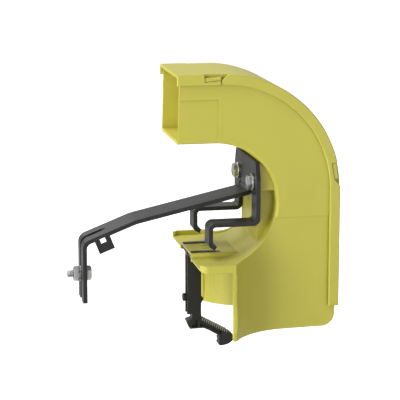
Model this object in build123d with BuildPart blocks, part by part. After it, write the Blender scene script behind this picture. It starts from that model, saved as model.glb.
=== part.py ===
from build123d import *
import os
from math import acos, atan, cos, degrees, hypot, radians, sin, sqrt, tan

os.makedirs("parts", exist_ok=True)

# A fibre raceway fitting: a moulded duct that turns from a level run down into a
# trumpet mouth, its clip-on cover, a folded steel bracket that carries it, and a
# moulded hook under the mouth. Millimetres, +X away from the inlet, +Z up.
# Side sizes below are measured from the centre of the bend.

# Driving sizes of the duct
bend_r = 50.8             # least bend of the fibre: the face inside the bend
wall = 2.5
duct_w = 77.0             # outside width of the duct
clear_h = 51.6            # inside height at the inlet
inlet_len = 30.7          # straight run before the bend
mouth_lean = 1.6          # how far the top of the inlet is set back
rim_r = 3.5               # round edge between the bend face and the sides
outer_dx = 6.8            # centre of the outer bend, from the bend centre
outer_dz = 9.8
shelf_drop = 46.7         # shelf face below the bend centre
shelf_reach = 17.4        # shelf edge left of the bend centre
shelf_corner_r = 6.5
shelf_edge_t = 1.1        # the shelf and the pad are thinner at their free edge
shelf_bevel = 5.0
mouth_w = 136.0           # outside width of the trumpet
mouth_x = 11.3            # outer face of the trumpet wall at the mouth
foot_drop = 107.4         # lower edge of the side walls at the mouth
foot_rise = 1.3           # how much higher it is at the outer side
foot_corner_r = 11.0
mouth_corner_r = 3.8
seam_drop = 12.0          # the side walls are drafted and flared below this height
draft_step = 0.5          # how far the drafted walls close in at their outer edge
seam_step = 0.25          # the drafted walls start this far in, which shows as a seam

# Trumpet wall in plan, at a few heights: drop, end of the curve in X, angle it turns
flare_stations = (
    (seam_drop, 0.5, 62.0),
    (24.0, 8.5, 62.5),
    (38.0, 11.0, 63.0),
    (62.0, mouth_x, 64.0),
    (foot_drop, mouth_x, 65.0),
)

# Shelf details
lip_h = 3.6
lip_fall_x = 3.0          # the far lip falls to the shelf from here to the mouth
pad_half = 25.5
pad_edge_r = 2.0
slot_y = 17.0
slot_w = 5.0
slot_x0 = -16.2
slot_x1 = 9.0
tie_rib_y = 4.8
tie_rib_w = 1.2
tie_rib_len = 6.0
tie_rib_x = -1.0
tie_rib_h = 0.8

# Recessed panel beside the inlet
panel_x = 2.9
panel_h = 36.0
panel_step = 1.0

# Cover
cover_t = 2.5
cover_lead = 0.8          # the cover ends this far beyond the duct
cover_edge_r = 1.0
cover_gap = 0.4           # between the cover flange and the duct wall
flange_d = 8.7            # depth of the cover flange, skin included
cover_drop = 88.4         # lower end of the cover

# Latches: a pocket in the corner of the cover over a nub on the duct wall. The first has a
# slit that lets the flange spring out.
latch_angles = (95.6, 9.7)
latch_half = 6.9
latch_slant = 8.0         # how far the pocket runs out at its sloped end
latch_pocket_h = 5.2
latch_pocket_in = 3.4     # how far the pocket reaches in from the side
latch_nub_out = 2.4
latch_nub_h = 3.2
latch_fit = 0.3
latch_slit_w = 0.7

# Folded bracket
sheet = 3.5
plate_in = 17.4           # front face of the plate, in from the face inside the bend
plate_half = 42.0
plate_fit = 0.2           # between the top of the plate and the bend face
plate_taper_z = 20.0
plate_top_half = 37.0
plate_low = 8.0           # lower edge of the plate between the arm and the legs
plate_corner_r = 2.0
hook_w = 17.7
fold_r = 2.4              # inside radius of the sharp folds
hook_top = -13.9          # upper face of the level part of the hooks
hook_x = -6.0             # left face of the hanging part
hook_knee = -32.6
foot_reach = 4.2
foot_fall = 2.3
arm_w = 32.0
arm_root_z = 7.2          # upper face of the arm where it meets the plate
arm_knee_x = -62.0
arm_knee_z = -14.2
arm_end_x = -105.9        # left face of the hanging end
arm_end_fall = 0.39       # slope of the arm beyond its knee
arm_end_z = -83.2
knee_r = 40.0
end_fold_r = 5.0
prong_corner_r = 2.5
fork_gap = 0.25           # on each side of the bolt
fork_x = -85.2            # closed end of the fork slot
relief_w = 3.0
relief_h = 5.5
lug_w = 13.4
lug_h = 12.6              # below the middle of the sheet
lug_far_h = 7.2
lug_hole_fit = 0.2
lug_x = -90.2
lug_out = 1.0             # how far the lugs stand out past the arm's edges
lug_hole = 4.6
lug_hole_down = 3.3

# Fasteners of quarter-inch size
thread_d = 6.35
pitch_d = 5.52            # the bolts are this thick where a nut or a hole holds them
thread_free = 0.4         # full thread starts this far beyond the nut
hex_af = 11.1
head_h = 3.6              # above the flange
arm_head_h = 5.0
nut_h = 5.2
flange_bolt_d = 14.2
flange_bolt_t = 1.5
hole_gap = 0.3
plate_bolt_y = 27.7
plate_bolt_z = 16.6
plate_bolt_len = 12.0
insert_d = 9.5
insert_len = 7.0
boss_round = 7.1          # the boss behind the plate reaches this far past the bolts
boss_half = 29.0
boss_top = 10.3
arm_bolt_z = -60.7
arm_bolt_len = 15.0
tooth_washer_d = 12.8
tooth_washer_t = 1.2
tooth_count = 12
tooth_gap = 1.1
tooth_in = 0.9

# Hanger under the pad: a channel-shaped post with a wide head, and a claw below it
hanger_x = -17.0          # open front of the post
hanger_back = -4.9
hanger_half = 4.9
hanger_t = 1.8
hanger_drop = 99.5        # lower end of the post
hanger_head_half = 22.3
hanger_head_x1 = 8.7
hanger_head_t = 2.4
hanger_fit = 0.3
tongue_fit = 0.15
tongue_proud = 0.8        # above the pad
tongue_taper = 5.0
pawl_drop = 86.8
pawl_out = 2.3
pawl_up = 3.4
pawl_down = 6.5
claw_half = 5.0
claw_neck_x = -13.0
claw_stem = 26.0          # how far its stem reaches up in the post
beam_drop = 4.3           # the beam starts this far below the post, on its back
beam_fall = 0.555         # slope of the beam's upper face
beam_end_x = 17.8
grip_count = 10
grip_pitch = 2.0
grip_h = 0.5
grip_x0 = -3.2
claw_pocket = 2.8

# Outline of the claw: X, and depth below the end of the post
claw_nose = ((-17.3, 5.6), (-17.2, 7.2), (-14.6, 12.9))
claw_under = ((-3.2, 12.6), (0.7, 14.3), (9.5, 19.5))
claw_bite = ((10.4, 21.4), (9.8, 23.2))
claw_bite_2 = ((10.5, 25.1), (9.7, 27.3))
claw_tip = ((10.9, 28.8), (15.9, 28.4), (20.8, 26.1), (23.5, 22.1), (21.6, 19.1))
claw_pocket_1 = ((-10.9, 5.2), (-7.9, 5.2), (-7.9, 11.4), (-13.4, 11.4))
claw_pocket_2 = ((-6.3, 5.6), (13.0, 16.0), (12.6, 18.6), (10.0, 18.1), (1.2, 13.0), (-3.0, 11.3), (-6.3, 11.3))
pin_d = 3.2
pin_head_d = 6.8
pin_head_h = 3.2
pin_drop = 85.5

half = duct_w / 2
mouth_half = mouth_w / 2
inner_r = bend_r + wall
base_top = inner_r + clear_h
outer_r = base_top - outer_dz
base_right = outer_dx + outer_r
shelf_z = -shelf_drop
shelf_cx = bend_r - shelf_drop
pad_z = shelf_z + lip_h
cover_r = outer_r + cover_t
cover_half = half + cover_gap + cover_t
plate_x = bend_r - plate_in
plate_back = plate_x + sheet
plate_top = sqrt(bend_r**2 - plate_back**2) - plate_fit
fork_w = thread_d + 2 * fork_gap
hole_d = thread_d + 2 * hole_gap
far = 4 * mouth_half      # beyond every side of the part

# The part's origin is the centre of the inlet opening
bend_x = inlet_len
bend_z = -(inner_r + clear_h / 2)


def side(y):
    """Upright plane seen from the front: local x is X, local y is Z."""
    return Plane(origin=(bend_x, y, bend_z), x_dir=(1, 0, 0), z_dir=(0, -1, 0))


def plan(z):
    """Level plane at a height from the bend centre."""
    return Plane(origin=(bend_x, 0, bend_z + z))


def across(x):
    """Upright plane across the duct: local x is Y, local y is Z."""
    return Plane(origin=(bend_x + x, 0, bend_z), x_dir=(0, 1, 0), z_dir=(1, 0, 0))


def latch_plane(angle, y):
    """Upright plane at a latch: local x runs along the cover's skin, local y outward."""
    return Plane(
        origin=(
            bend_x + outer_dx + cover_r * cos(radians(angle)),
            y,
            bend_z + outer_dz + cover_r * sin(radians(angle)),
        ),
        x_dir=(sin(radians(angle)), 0, -cos(radians(angle))),
        z_dir=(0, -1, 0),
    )


def under_post(point):
    """Point of the claw's outline: X, and its depth below the end of the post."""
    return (point[0], -hanger_drop - point[1])


def flare_sketch(station, inset):
    """Plan outline of the trumpet at one height, drawn in by inset."""
    drop, end_x, angle = station
    r = (mouth_half - half + seam_step) / (1 - cos(radians(angle)))
    x0 = end_x + r * sin(radians(angle))
    rr = r + inset
    run = (far - mouth_half) / tan(radians(angle))
    ex = x0 - rr * sin(radians(angle))
    ey = half - seam_step + r - rr * cos(radians(angle))
    edge = half - seam_step - draft_step * (drop > seam_drop) - inset
    start = half - seam_step
    with BuildSketch(plan(-drop)) as outline:
        with BuildLine():
            Line((base_right + wall, -edge), (x0, inset - start))
            CenterArc((x0, -start - r), rr, 90, angle)
            Line((ex, -ey), (ex - run, -ey - far + mouth_half))
            Line((ex - run, -ey - far + mouth_half), (ex - run, ey + far - mouth_half))
            Line((ex - run, ey + far - mouth_half), (ex, ey))
            CenterArc((x0, start + r), rr, 270 - angle, angle)
            Line((x0, start - inset), (base_right + wall, edge))
            Line((base_right + wall, edge), (base_right + wall, -edge))
        make_face()
    return outline.sketch


# Side outline of the whole duct, from the inlet round to the foot
foot_right = foot_drop - foot_rise
seam_x = shelf_cx + sqrt(shelf_drop**2 - seam_drop**2)
mid_r = bend_r + wall / 2
mid_drop = shelf_drop + wall / 2
boss_angle = degrees(acos(plate_back / mid_r))
boss_low_angle = degrees(acos((plate_back - shelf_cx) / mid_drop))

wall_knee = (shelf_cx + shelf_drop * cos(radians(43)), -shelf_drop * sin(radians(43)))

# Upper channel: inlet, bend and the straight fall to the seam
with BuildPart() as channel:
    with BuildSketch(side(0)) as channel_side:
        with BuildLine():
            Line((-inlet_len, bend_r), (0, bend_r))
            CenterArc((0, 0), bend_r, 90, -90)
            CenterArc((shelf_cx, 0), shelf_drop, 0, -degrees(atan(seam_drop / (seam_x - shelf_cx))))
            Line((seam_x, -seam_drop), (base_right, -seam_drop))
            Line((base_right, -seam_drop), (base_right, outer_dz))
            CenterArc((outer_dx, outer_dz), outer_r, 0, 90)
            Line((outer_dx, base_top), (-inlet_len + mouth_lean, base_top))
            Line((-inlet_len + mouth_lean, base_top), (-inlet_len, bend_r))
        make_face()
    extrude(amount=half, both=True)
    side_edges = channel.edges().filter_by(lambda edge: abs(edge.center().Y) > half - 0.01)
    bend_edges = side_edges.filter_by(
        lambda edge: abs(hypot(edge.center().X - bend_x, edge.center().Z - bend_z) - bend_r) < wall / 2
    )
    fillet(bend_edges.filter_by(GeomType.CIRCLE), rim_r)
    with BuildSketch(side(0)) as bore_side:
        with BuildLine():
            Line((-inlet_len, inner_r), (0, inner_r))
            CenterArc((0, 0), inner_r, 90, -90)
            CenterArc((shelf_cx, 0), shelf_drop + wall, 0, -30)
            Line(
                (
                    shelf_cx + (shelf_drop + wall) * cos(radians(30)),
                    -(shelf_drop + wall) / 2,
                ),
                (far, -(shelf_drop + wall) / 2),
            )
            Line((far, -(shelf_drop + wall) / 2), (far, far))
            Line((far, far), (-inlet_len, far))
            Line((-inlet_len, far), (-inlet_len, inner_r))
        make_face()
    extrude(amount=half - wall, both=True, mode=Mode.SUBTRACT)

# Lower walls: drafted sides that open into the trumpet
with BuildPart() as trumpet:
    loft([flare_sketch(station, 0) for station in flare_stations])
    loft([flare_sketch(station, wall) for station in flare_stations], mode=Mode.SUBTRACT)
    with BuildSketch(side(0)) as wall_side:
        with BuildLine():
            Line((seam_x, -seam_drop), (base_right, -seam_drop))
            Line((base_right, -seam_drop), (base_right, -foot_right + foot_corner_r))
            CenterArc((base_right - foot_corner_r, -foot_right + foot_corner_r), foot_corner_r, 0, -90)
            Line((base_right - foot_corner_r, -foot_right), (mouth_x, -foot_drop))
            Line((mouth_x, -foot_drop), (-inlet_len, -foot_drop))
            Line((-inlet_len, -foot_drop), (-inlet_len, pad_z))
            Line((-inlet_len, pad_z), (mouth_x, pad_z))
            ThreePointArc((mouth_x, pad_z), wall_knee, (seam_x, -seam_drop))
        make_face()
    extrude(amount=far, both=True, mode=Mode.INTERSECT)
    with BuildSketch(across(0)) as mouth_front:
        with Locations((0, -foot_drop / 2 + mouth_half)):
            RectangleRounded(mouth_w, foot_drop + mouth_w, mouth_corner_r)
    extrude(amount=far, both=True, mode=Mode.INTERSECT)

# Bend face below the seam, running out level as the shelf
with BuildPart() as shelf:
    loft([flare_sketch(station, 0) for station in flare_stations])
    with BuildSketch(side(0)) as shelf_side:
        with BuildLine():
            Line((-shelf_reach, shelf_z), (shelf_cx, shelf_z))
            CenterArc((shelf_cx, 0), shelf_drop, 270, 90)
            Line((bend_r, 0), (inner_r, 0))
            CenterArc((shelf_cx, 0), shelf_drop + wall, 0, -90)
            Line((shelf_cx, shelf_z - wall), (-shelf_reach + shelf_bevel, shelf_z - wall))
            Line((-shelf_reach + shelf_bevel, shelf_z - wall), (-shelf_reach, shelf_z - shelf_edge_t))
            Line((-shelf_reach, shelf_z - shelf_edge_t), (-shelf_reach, shelf_z))
        make_face()
    extrude(amount=mouth_half, both=True, mode=Mode.INTERSECT)
    with BuildSketch(plan(shelf_z - wall)) as shelf_plan:
        with Locations((-shelf_reach, 0)):
            Rectangle(shelf_reach + base_right, mouth_w, align=(Align.MIN, Align.CENTER))
        fillet(shelf_plan.vertices().group_by(Axis.X)[0], shelf_corner_r)
    extrude(amount=far, mode=Mode.INTERSECT)

# Upstanding lips along both ends of the shelf, which run round its corners
with BuildPart() as lips:
    with BuildSketch(plan(shelf_z - shelf_edge_t)) as lip_plan:
        with Locations((-shelf_reach, 0)):
            Rectangle(shelf_reach + mouth_x, mouth_w, align=(Align.MIN, Align.CENTER))
        fillet(lip_plan.vertices().group_by(Axis.X)[0], shelf_corner_r)
    extrude(amount=lip_h + shelf_edge_t)
    with BuildSketch(plan(shelf_z - wall)) as lip_inside:
        with Locations((-shelf_reach + wall, 0)):
            Rectangle(far, mouth_w - 2 * wall, align=(Align.MIN, Align.CENTER))
        fillet(lip_inside.vertices().group_by(Axis.X)[0], shelf_corner_r - wall)
        with Locations((-shelf_reach, 0)):
            Rectangle(far, mouth_w - 2 * shelf_corner_r, align=(Align.MIN, Align.CENTER))
    extrude(amount=far, mode=Mode.SUBTRACT)
    with BuildSketch(side(mouth_half)) as lip_end:
        with BuildLine():
            Polyline((lip_fall_x, pad_z), (mouth_x, pad_z), (mouth_x, shelf_z), close=True)
        make_face()
    extrude(amount=2 * wall, mode=Mode.SUBTRACT)

# Raised pad over the hanger, with round edges
with BuildPart() as pad:
    with BuildSketch(plan(pad_z)) as pad_plan:
        with Locations((-shelf_reach, 0)):
            Rectangle(bend_r - shelf_drop + 2 * shelf_reach, 2 * pad_half, align=(Align.MIN, Align.CENTER))
    extrude(amount=-lip_h - wall)
    fillet(pad.edges().filter_by(Axis.X).group_by(Axis.Z)[-1], pad_edge_r)

# Boss that the bracket is bolted to: wider behind the plate, and run out into the bend
with BuildPart() as boss:
    with BuildSketch(across(plate_back)) as boss_face:
        with Locations((0, boss_top)):
            Rectangle(2 * boss_half, far, align=(Align.CENTER, Align.MAX))
            Rectangle(2 * (plate_bolt_y + boss_round), far, align=(Align.CENTER, Align.MIN))
    extrude(amount=far)
    with BuildSketch(side(0)) as boss_side:
        with BuildLine():
            CenterArc((0, 0), mid_r, boss_angle, -boss_angle)
            CenterArc((shelf_cx, 0), mid_drop, 0, -boss_low_angle)
            Line(
                (plate_back, -mid_drop * sin(radians(boss_low_angle))),
                (plate_back, mid_r * sin(radians(boss_angle))),
            )
        make_face()
    extrude(amount=far, both=True, mode=Mode.INTERSECT)

with BuildPart() as duct_base:
    add(channel.part)
    add(trumpet.part)
    add(shelf.part)
    add(lips.part)
    add(pad.part)
    # The pad is hollow below
    with BuildSketch(plan(pad_z - wall)) as pad_hollow:
        with Locations((-shelf_reach, 0)):
            Rectangle(shelf_reach + slot_x1 + wall, 2 * (pad_half - wall), align=(Align.MIN, Align.CENTER))
    extrude(amount=-2 * lip_h, mode=Mode.SUBTRACT)
    with BuildSketch(side(0)) as pad_bevel:
        with BuildLine():
            Polyline(
                (-shelf_reach, pad_z - wall),
                (-shelf_reach, pad_z - shelf_edge_t),
                (-shelf_reach + shelf_bevel, pad_z - wall),
                close=True,
            )
        make_face()
    extrude(amount=pad_half - wall, both=True, mode=Mode.SUBTRACT)
    # Slots for the hanger's tongues, and two small ribs between them
    with BuildSketch(plan(pad_z)) as slots:
        with Locations(((slot_x0 + slot_x1) / 2, -slot_y), ((slot_x0 + slot_x1) / 2, slot_y)):
            Rectangle(slot_x1 - slot_x0, slot_w)
    extrude(amount=-2 * wall, mode=Mode.SUBTRACT)
    with BuildSketch(plan(pad_z)) as tie_ribs:
        with Locations((tie_rib_x, -tie_rib_y), (tie_rib_x, tie_rib_y)):
            RectangleRounded(tie_rib_len, tie_rib_w, tie_rib_w / 2 - 0.01)
    extrude(amount=tie_rib_h)
    add(boss.part)
    with BuildSketch(across(plate_back)) as insert_holes:
        with Locations((-plate_bolt_y, plate_bolt_z), (plate_bolt_y, plate_bolt_z)):
            Circle(insert_d / 2)
    extrude(amount=insert_len, mode=Mode.SUBTRACT)
    with BuildSketch(across(plate_back)) as bolt_holes:
        with Locations((-plate_bolt_y, plate_bolt_z), (plate_bolt_y, plate_bolt_z)):
            Circle(hole_d / 2)
    extrude(amount=plate_bolt_len - sheet + 0.5, mode=Mode.SUBTRACT)
    # Recessed panels beside the inlet
    for y in (-half, half):
        with BuildSketch(side(y)) as panel:
            with Locations((-inlet_len, bend_r)):
                Rectangle(inlet_len + panel_x, panel_h, align=(Align.MIN, Align.MIN))
        extrude(amount=panel_step, both=True, mode=Mode.SUBTRACT)
    # Nubs that the cover's latches snap over
    for angle in latch_angles:
        for sign in (-1, 1):
            with BuildSketch(latch_plane(angle, sign * half)) as nub:
                with Locations((0, -latch_pocket_h + latch_fit)):
                    Rectangle(2 * (latch_half - latch_fit), latch_nub_h, align=(Align.CENTER, Align.MIN))
            extrude(amount=-sign * latch_nub_out)
duct_base.part.label = "duct_base"

# Clip-on cover
cover_end_x = -inlet_len - cover_lead
with BuildPart() as duct_cover:
    with BuildSketch(side(0)) as cover_side:
        with BuildLine():
            Line((cover_end_x, base_top + cover_t), (outer_dx, base_top + cover_t))
            CenterArc((outer_dx, outer_dz), cover_r, 90, -90)
            Line((outer_dx + cover_r, outer_dz), (outer_dx + cover_r, -cover_drop))
            Line((outer_dx + cover_r, -cover_drop), (outer_dx + cover_r - flange_d, -cover_drop))
            Line((outer_dx + cover_r - flange_d, -cover_drop), (outer_dx + cover_r - flange_d, outer_dz))
            CenterArc((outer_dx, outer_dz), cover_r - flange_d, 0, 90)
            Line((outer_dx, base_top + cover_t - flange_d), (cover_end_x, base_top + cover_t - flange_d))
            Line((cover_end_x, base_top + cover_t - flange_d), (cover_end_x, base_top + cover_t))
        make_face()
    extrude(amount=cover_half, both=True)
    fillet(duct_cover.edges().filter_by(lambda edge: abs(edge.center().Y) > cover_half - 0.01), cover_edge_r)
    with BuildSketch(side(0)) as cover_bore:
        with BuildLine():
            Line((cover_end_x, base_top), (outer_dx, base_top))
            CenterArc((outer_dx, outer_dz), outer_r, 90, -90)
            Line((base_right, outer_dz), (base_right, -cover_drop))
            Line((base_right, -cover_drop), (0, -cover_drop))
            Line((0, -cover_drop), (0, 0))
            Line((0, 0), (cover_end_x, 0))
            Line((cover_end_x, 0), (cover_end_x, base_top))
        make_face()
    extrude(amount=half + cover_gap, both=True, mode=Mode.SUBTRACT)
    # Latch pockets, square at one end and sloped at the other
    for angle in latch_angles:
        for sign in (-1, 1):
            with BuildSketch(latch_plane(angle, sign * (cover_half - latch_pocket_in))) as pocket:
                with BuildLine():
                    Polyline(
                        (-latch_half, cover_t),
                        (latch_half + latch_slant * (1 + cover_t / latch_pocket_h), cover_t),
                        (latch_half, -latch_pocket_h),
                        (-latch_half, -latch_pocket_h),
                        close=True,
                    )
                make_face()
                if angle == latch_angles[0]:
                    with Locations((latch_half - latch_slit_w / 2, -latch_pocket_h)):
                        Rectangle(latch_slit_w, flange_d, align=(Align.CENTER, Align.MAX))
            extrude(amount=-sign * latch_pocket_in * 2, mode=Mode.SUBTRACT)
duct_cover.part.label = "duct_cover"

# Folded bracket: plate, two hooks, arm with its fork and lugs
mid = plate_x + sheet / 2
arm_fall = (arm_root_z - arm_knee_z) / (plate_x - arm_knee_x)
arm_drop_1 = sheet / 2 * sqrt(1 + arm_fall**2)
arm_drop_2 = sheet / 2 * sqrt(1 + arm_end_fall**2)
end_mid_x = arm_end_x + sheet / 2
end_corner_z = arm_knee_z - (arm_knee_x - end_mid_x) * arm_end_fall - arm_drop_2
lug_tilt = atan(arm_end_fall)
lug_z = arm_knee_z - (arm_knee_x - lug_x) * arm_end_fall - arm_drop_2
with BuildPart() as mounting_bracket:
    with BuildSketch(across(plate_x)) as plate_face:
        with BuildLine():
            Polyline(
                (-plate_half, plate_low),
                (-plate_half, plate_taper_z),
                (-plate_top_half, plate_top),
                (plate_top_half, plate_top),
                (plate_half, plate_taper_z),
                (plate_half, plate_low),
                close=True,
            )
        make_face()
        fillet(plate_face.vertices().group_by(Axis.Y)[1:], plate_corner_r)
        with Locations((-(arm_w + relief_w) / 2, plate_low), ((arm_w + relief_w) / 2, plate_low)):
            SlotOverall(2 * relief_h, relief_w, rotation=90, mode=Mode.SUBTRACT)
        with Locations((0, plate_low)):
            Rectangle(arm_w + relief_w, 2 * (relief_h - relief_w / 2), mode=Mode.SUBTRACT)
        with Locations((-plate_bolt_y, plate_bolt_z), (plate_bolt_y, plate_bolt_z)):
            Circle(hole_d / 2, mode=Mode.SUBTRACT)
    extrude(amount=sheet)
    for y in (-plate_half, plate_half - hook_w):
        with BuildSketch(side(y + hook_w)) as hook_side:
            with BuildLine() as hook_line:
                FilletPolyline(
                    (mid, plate_low),
                    (mid, hook_top - sheet / 2),
                    (hook_x + sheet / 2, hook_top - sheet / 2),
                    (hook_x + sheet / 2, hook_knee),
                    (hook_x + sheet / 2 + foot_reach, hook_knee - foot_fall),
                    radius=(fold_r + sheet / 2, fold_r + sheet / 2, sheet / 2 + 0.5),
                )
            trace(line_width=sheet)
        extrude(amount=hook_w)
    with BuildSketch(side(arm_w / 2)) as arm_side:
        with BuildLine() as arm_line:
            FilletPolyline(
                (mid, plate_low + relief_h),
                (mid, arm_root_z - arm_drop_1 + arm_fall * sheet / 2),
                (arm_knee_x, arm_knee_z - arm_drop_1),
                (end_mid_x, end_corner_z),
                (end_mid_x, arm_end_z),
                radius=(fold_r + sheet / 2, knee_r, end_fold_r + sheet / 2),
            )
        trace(line_width=sheet)
    extrude(amount=arm_w)
    # Fork slot, open at the hanging end
    with BuildSketch(plan(arm_end_z)) as fork:
        with Locations((fork_x, 0)):
            SlotOverall(4 * (fork_x - arm_end_x), fork_w, align=(Align.MAX, Align.CENTER))
    extrude(amount=far, mode=Mode.SUBTRACT)
    prong_ends = mounting_bracket.edges().filter_by(Axis.X).group_by(Axis.Z)[0]
    fillet(prong_ends, prong_corner_r)
    # Lugs folded down from the arm's edges, each with a square hole
    for sign, lug_depth in ((-1, lug_h), (1, lug_far_h)):
        lug_plane = Plane(
            origin=(
                bend_x + lug_x - lug_w / 2 * cos(lug_tilt),
                0,
                bend_z + lug_z - lug_w / 2 * sin(lug_tilt),
            ),
            x_dir=(0, sign, 0),
            z_dir=(cos(lug_tilt), 0, sin(lug_tilt)),
        )
        with BuildSketch(lug_plane) as lug_fold:
            with BuildLine() as lug_line:
                FilletPolyline(
                    (arm_w / 2 - 2 * sheet, 0),
                    (arm_w / 2 + lug_out - sheet / 2, 0),
                    (arm_w / 2 + lug_out - sheet / 2, -sign * lug_depth),
                    radius=sheet / 2 + 0.5,
                )
            trace(line_width=sheet)
        extrude(amount=lug_w)
    for y in (-arm_w / 2 - lug_out, arm_w / 2 + lug_out - sheet - lug_hole_fit):
        with BuildSketch(side(y)) as lug_holes:
            with Locations((lug_x + lug_hole_down * sin(lug_tilt), lug_z - lug_hole_down * cos(lug_tilt))):
                Rectangle(lug_hole, lug_hole, rotation=degrees(lug_tilt))
        extrude(amount=-sheet - lug_hole_fit, mode=Mode.SUBTRACT)
mounting_bracket.part.label = "mounting_bracket"

# Flanged bolts that hold the bracket to the duct, each in a threaded insert
plate_bolts = []
inserts = []
for y in (-plate_bolt_y, plate_bolt_y):
    with BuildPart() as plate_bolt:
        with BuildSketch(across(plate_x)) as flange_face:
            with Locations((y, plate_bolt_z)):
                Circle(flange_bolt_d / 2)
        extrude(amount=-flange_bolt_t)
        fillet(plate_bolt.faces().sort_by(Axis.X)[0].edges(), flange_bolt_t / 2)
        with BuildSketch(across(plate_x - flange_bolt_t / 2)) as hex_face:
            with Locations((y, plate_bolt_z)):
                RegularPolygon(hex_af / 2, 6, major_radius=False)
        extrude(amount=-head_h - flange_bolt_t / 2)
        chamfer(plate_bolt.faces().sort_by(Axis.X)[0].edges(), 0.5)
        with BuildSketch(across(plate_x)) as shank_face:
            with Locations((y, plate_bolt_z)):
                Circle(pitch_d / 2)
        extrude(amount=plate_bolt_len)
    plate_bolts.append(plate_bolt.part)
    with BuildPart() as insert:
        with BuildSketch(across(plate_back)) as insert_face:
            with Locations((y, plate_bolt_z)):
                Circle(insert_d / 2)
                Circle(pitch_d / 2, mode=Mode.SUBTRACT)
        extrude(amount=insert_len)
    inserts.append(insert.part)
plate_bolt_near, plate_bolt_far = plate_bolts
insert_near, insert_far = inserts
plate_bolt_near.label = "plate_bolt_near"
plate_bolt_far.label = "plate_bolt_far"
insert_near.label = "insert_near"
insert_far.label = "insert_far"

# Bolt, nut and toothed washer at the fork
arm_back = arm_end_x + sheet
nut_end_x = arm_end_x - tooth_washer_t - nut_h
with BuildPart() as arm_bolt:
    with BuildSketch(across(arm_back)) as arm_flange:
        with Locations((0, arm_bolt_z)):
            Circle(flange_bolt_d / 2)
    extrude(amount=flange_bolt_t)
    fillet(arm_bolt.faces().sort_by(Axis.X)[-1].edges(), flange_bolt_t / 2)
    with BuildSketch(across(arm_back)) as arm_head:
        with Locations((0, arm_bolt_z)):
            RegularPolygon(hex_af / 2, 6, major_radius=False, rotation=30)
    extrude(amount=flange_bolt_t + arm_head_h)
    chamfer(arm_bolt.faces().sort_by(Axis.X)[-1].edges(), 0.6)
    with BuildSketch(across(arm_back)) as arm_shank:
        with Locations((0, arm_bolt_z)):
            Circle(pitch_d / 2)
    extrude(amount=-arm_bolt_len)
    with BuildSketch(across(arm_back - arm_bolt_len)) as arm_thread:
        with Locations((0, arm_bolt_z)):
            Circle(thread_d / 2)
    extrude(amount=nut_end_x - thread_free - (arm_back - arm_bolt_len))
    chamfer(arm_bolt.faces().sort_by(Axis.X)[0].edges(), 0.6)
arm_bolt.part.label = "arm_bolt"

with BuildPart() as arm_tooth_washer:
    with BuildSketch(across(arm_end_x)) as washer_face:
        with Locations((0, arm_bolt_z)):
            Circle(tooth_washer_d / 2)
            Circle(hole_d / 2, mode=Mode.SUBTRACT)
            with PolarLocations(tooth_washer_d / 2, tooth_count):
                Rectangle(2 * tooth_in, tooth_gap, mode=Mode.SUBTRACT)
    extrude(amount=-tooth_washer_t)
arm_tooth_washer.part.label = "arm_tooth_washer"

with BuildPart() as arm_nut:
    with BuildSketch(across(arm_end_x - tooth_washer_t)) as nut_face:
        with Locations((0, arm_bolt_z)):
            RegularPolygon(hex_af / 2, 6, major_radius=False, rotation=30)
            Circle(pitch_d / 2, mode=Mode.SUBTRACT)
    extrude(amount=-nut_h)
    chamfer(arm_nut.faces().sort_by(Axis.X)[0].outer_wire().edges(), 0.6)
arm_nut.part.label = "arm_nut"

# Post of the hanger: channel open to the front, head in the hollow of the pad
pad_under = pad_z - wall
with BuildPart() as hanger_post:
    with BuildSketch(plan(pad_under)) as head_plan:
        with Locations((hanger_x + 0.6, 0)):
            Rectangle(hanger_head_x1 - hanger_x - 0.6, 2 * hanger_head_half, align=(Align.MIN, Align.CENTER))
    extrude(amount=-hanger_head_t)
    for y in (-slot_y, slot_y):
        with BuildSketch(side(y)) as tongue:
            with BuildLine():
                Polyline(
                    (slot_x0 + tongue_fit, pad_under),
                    (slot_x0 + tongue_fit, pad_z + tongue_proud),
                    (slot_x1 - tongue_fit - tongue_taper, pad_z + tongue_proud),
                    (slot_x1 - tongue_fit, pad_under + wall / 2),
                    (slot_x1 - tongue_fit, pad_under),
                    close=True,
                )
            make_face()
        extrude(amount=slot_w / 2 - tongue_fit, both=True)
    with BuildSketch(plan(pad_under)) as post_plan:
        with Locations((hanger_x, 0)):
            Rectangle(hanger_back - hanger_x, 2 * hanger_half, align=(Align.MIN, Align.CENTER))
    extrude(amount=-(hanger_drop + pad_under))
    fillet(hanger_post.edges().filter_by(Axis.Z).group_by(Axis.Z)[0], 0.8)
    with BuildSketch(plan(-hanger_drop)) as post_hollow:
        with Locations((hanger_x, 0)):
            Rectangle(
                hanger_back - hanger_t - hanger_x,
                2 * (hanger_half - hanger_t),
                align=(Align.MIN, Align.CENTER),
            )
    extrude(amount=hanger_drop + shelf_z - wall, mode=Mode.SUBTRACT)
    with BuildSketch(side(hanger_half - hanger_t)) as pawl:
        with BuildLine():
            Polyline(
                (hanger_back - hanger_t / 2, -pawl_drop + pawl_up),
                (hanger_back + pawl_out, -pawl_drop),
                (hanger_back - hanger_t / 2, -pawl_drop - pawl_down),
                close=True,
            )
        make_face()
    extrude(amount=2 * (hanger_half - hanger_t))
    with BuildSketch(across(hanger_back - hanger_t)) as pin_hole:
        with Locations((0, -pin_drop)):
            Circle(pin_d / 2)
    extrude(amount=hanger_t, mode=Mode.SUBTRACT)
hanger_post.part.label = "hanger_post"

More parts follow.
